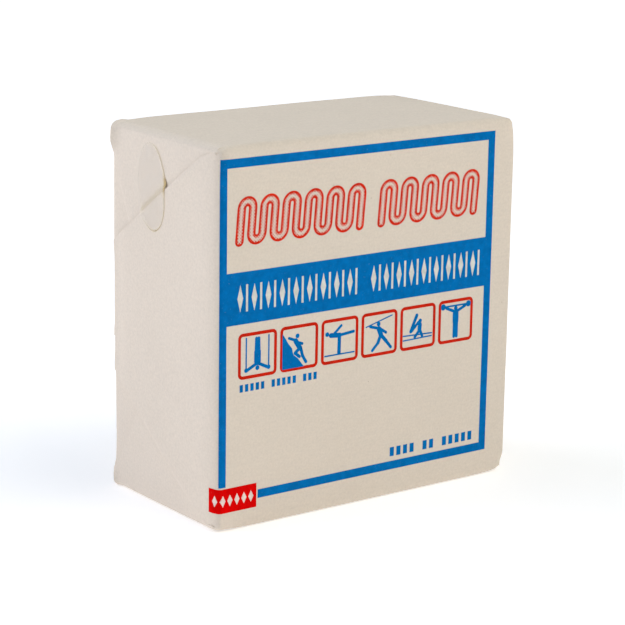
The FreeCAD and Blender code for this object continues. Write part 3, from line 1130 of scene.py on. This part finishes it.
def chalk_material():
    nodes = Nodes("pressed_chalk")
    cloud = nodes.cloud(120, 4, 0.96, 1.02)
    powder = nodes.cloud(2200, 8, 0.94, 1.04)
    colour = nodes.scaled(nodes.mix(nodes.noise(60, 2), (0.86, 0.86, 0.85), (0.82, 0.83, 0.83)), cloud)
    # Greyer spots: painted shade in small pores that the mesh does not have.
    pore_shade = nodes.specks(900, 0.25, 0.5)
    colour = nodes.mix(nodes.math("MULTIPLY", pore_shade, 0.25), nodes.scaled(colour, powder), (0.6, 0.6, 0.59))
    coarse = nodes.bump(nodes.noise(420, 8), 0.0005, 0.5)
    normal = nodes.bump(nodes.noise(2600, 6), 0.00015, 0.6, coarse)
    return nodes.finish(colour, nodes.cloud(800, 3, 0.88, 1.0), normal, 0.15)


def film_material():
    """Clear film, hazy in clouds, with yellowed gum at its rim and where it bridges the fold."""
    nodes = Nodes("clear_film")
    gum = nodes.attribute("gum")
    clouds = nodes.noise(420, 4)
    haze = nodes.mix(nodes.ramp(clouds, 0.35, 0.65), (0.60, 0.58, 0.53), (0.80, 0.79, 0.74))
    colour = nodes.mix(nodes.ramp(gum, 0.0, 0.25), haze, (0.78, 0.66, 0.38))
    colour = nodes.mix(nodes.ramp(gum, 0.4, 1.0), colour, (0.55, 0.40, 0.15))
    thin = nodes.ramp(clouds, 0.3, 0.7, 0.035, 0.085)
    alpha = nodes.math("ADD", thin, nodes.math("MULTIPLY", gum, 0.42))
    nodes.link(alpha, nodes.shader.inputs["Alpha"])
    normal = nodes.bump(nodes.noise(600, 3), 0.0001, 0.2)
    return nodes.finish(colour, nodes.cloud(300, 2, 0.25, 0.4), normal, 0.5)


def paste_material():
    nodes = Nodes("dried_paste")
    tone = nodes.cloud(600, 4, 0.85, 1.1)
    colour = nodes.scaled(nodes.mix(nodes.noise(200, 3), (0.70, 0.62, 0.42), (0.62, 0.54, 0.36)), tone)
    roughness = nodes.cloud(400, 3, 0.4, 0.6)
    return nodes.finish(colour, roughness, nodes.bump(nodes.noise(900, 4), 0.0001, 0.4), 0.4)


def floor_material():
    nodes = Nodes("white_table_painted_glow")
    tone = nodes.cloud(3, 2, 0.995, 1.0)
    colour = nodes.scaled(nodes.mix(nodes.noise(8, 2), (0.92, 0.925, 0.945), (0.91, 0.915, 0.935)), tone)
    distance = nodes.add("VectorMath")
    distance.operation = "LENGTH"
    nodes.link(nodes.place, distance.inputs[0])
    nodes.shader.inputs["Emission Color"].default_value = (1, 1, 1, 1)
    # The table glows though it is no lamp. This is painted light: dimmer near the block as painted shade round
    # its base, brighter further off.
    painted_glow = nodes.ramp(distance.outputs["Value"], 0.15, 0.9, 0.33, 0.7)
    nodes.link(painted_glow, nodes.shader.inputs["Emission Strength"])
    return nodes.finish(colour, 0.7, nodes.bump(nodes.noise(60, 2), 0.0002, 0.1), 0.2)


def dress(piece, material):
    """Give a piece this one material."""
    piece.data.materials.clear()
    piece.data.materials.append(material)
    return piece


# ---- stage, light and camera


def make_floor():
    """A wide pale table, which also fills the background."""
    size, step = 4.0, 0.5
    builder = Builder()
    places = levels(-size / 2 / MM, size / 2 / MM, step / MM)
    builder.grid([[(x, y, -0.02) for x in places] for y in places])
    floor = builder.mesh_object("table_top", lambda point: Vector((0, 0, 1)), 2.0, -1.0)
    return floor


def direction(azimuth, elevation):
    """The direction from the object to a camera or light. Azimuth 0 is straight in front, 90 to the right."""
    a, e = math.radians(azimuth), math.radians(elevation)
    return Vector((math.sin(a) * math.cos(e), -math.cos(a) * math.cos(e), math.sin(e)))


def make_light(name, azimuth, elevation, distance, size, power, colour):
    """A soft square light that looks at the object."""
    light = bpy.data.lights.new(name, "AREA")
    light.size = size
    light.energy = power
    light.color = colour
    lamp = bpy.data.objects.new(name, light)
    bpy.context.scene.collection.objects.link(lamp)
    towards = direction(azimuth, elevation)
    lamp.location = Vector((0, 0, 0.04)) + towards * distance
    lamp.rotation_euler = towards.to_track_quat("Z", "Y").to_euler()


def make_world():
    world = bpy.data.worlds.new("studio")
    world.use_nodes = True
    sky = world.node_tree.nodes["Background"]
    sky.inputs["Color"].default_value = (1.0, 1.0, 1.0, 1.0)
    sky.inputs["Strength"].default_value = 0.1
    bpy.context.scene.world = world


def make_camera():
    """A long lens to the left of the front, a little above the block and a touch tilted."""
    azimuth, elevation, roll = -36.72, 13.70, math.radians(0.88)
    back = direction(azimuth, elevation)
    target = Vector((-0.46, -0.33, 33.48)) * MM
    level = Vector((0, 0, 1)).cross(back).normalized()
    upright = back.cross(level)
    right = level * math.cos(roll) + upright * math.sin(roll)
    up = upright * math.cos(roll) - level * math.sin(roll)
    camera = bpy.data.cameras.new("camera")
    camera.lens = 130.2
    camera.clip_start = 0.02
    viewer = bpy.data.objects.new("camera", camera)
    bpy.context.scene.collection.objects.link(viewer)
    turned = Matrix((right, up, back)).transposed().to_4x4()
    viewer.matrix_world = Matrix.Translation(target + back * 0.43835) @ turned
    bpy.context.scene.camera = viewer


# ---- the whole scene

paper = paper_material()
blue = ink_material("blue_ink", BLUE, 0.1)
red = ink_material("red_ink", RED, 0.05)
pale = ink_material("pale_mark", (0.70, 0.70, 0.66), 0.1)
film = film_material()

sleeve = dress(make_sleeve(), paper)
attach(sleeve, "wrapped_block")
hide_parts("wrapper_sleeve")
for end, side in (("left", -1), ("right", 1)):
    for wall in FLAPS:
        flap = dress(make_flap(end, side, wall), paper)
        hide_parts(f"{end}_{wall}_flap")
    dress(make_seal(end, side), film)
dress(make_chalk(), chalk_material())
dress(make_border(), blue)
dress(make_title(), tube_material())
dress(make_band_marks(), pale)
dress(make_squares(), ink_material("red_frame_ink", (0.60, 0.018, 0.005), 0.1))
dress(make_figures(), blue)
dress(make_small_marks(), blue)
dress(make_tag(), red)
dress(make_tag_marks(), ink_material("tag_mark", (0.86, 0.70, 0.64), 0.05))
dress(make_paste(), paste_material())

dress(make_floor(), floor_material())
make_world()
make_light("key", -130, 28, 0.9, 0.9, 6.21, (0.932, 0.918, 1.0))
make_light("front_fill", 36, 47, 1.2, 1.0, 9.39, (1.0, 0.909, 0.783))
make_light("top_soft", 0, 85, 1.0, 1.2, 3.39, (0.555, 0.817, 1.0))
make_camera()
bpy.context.scene.view_settings.view_transform = "Standard"
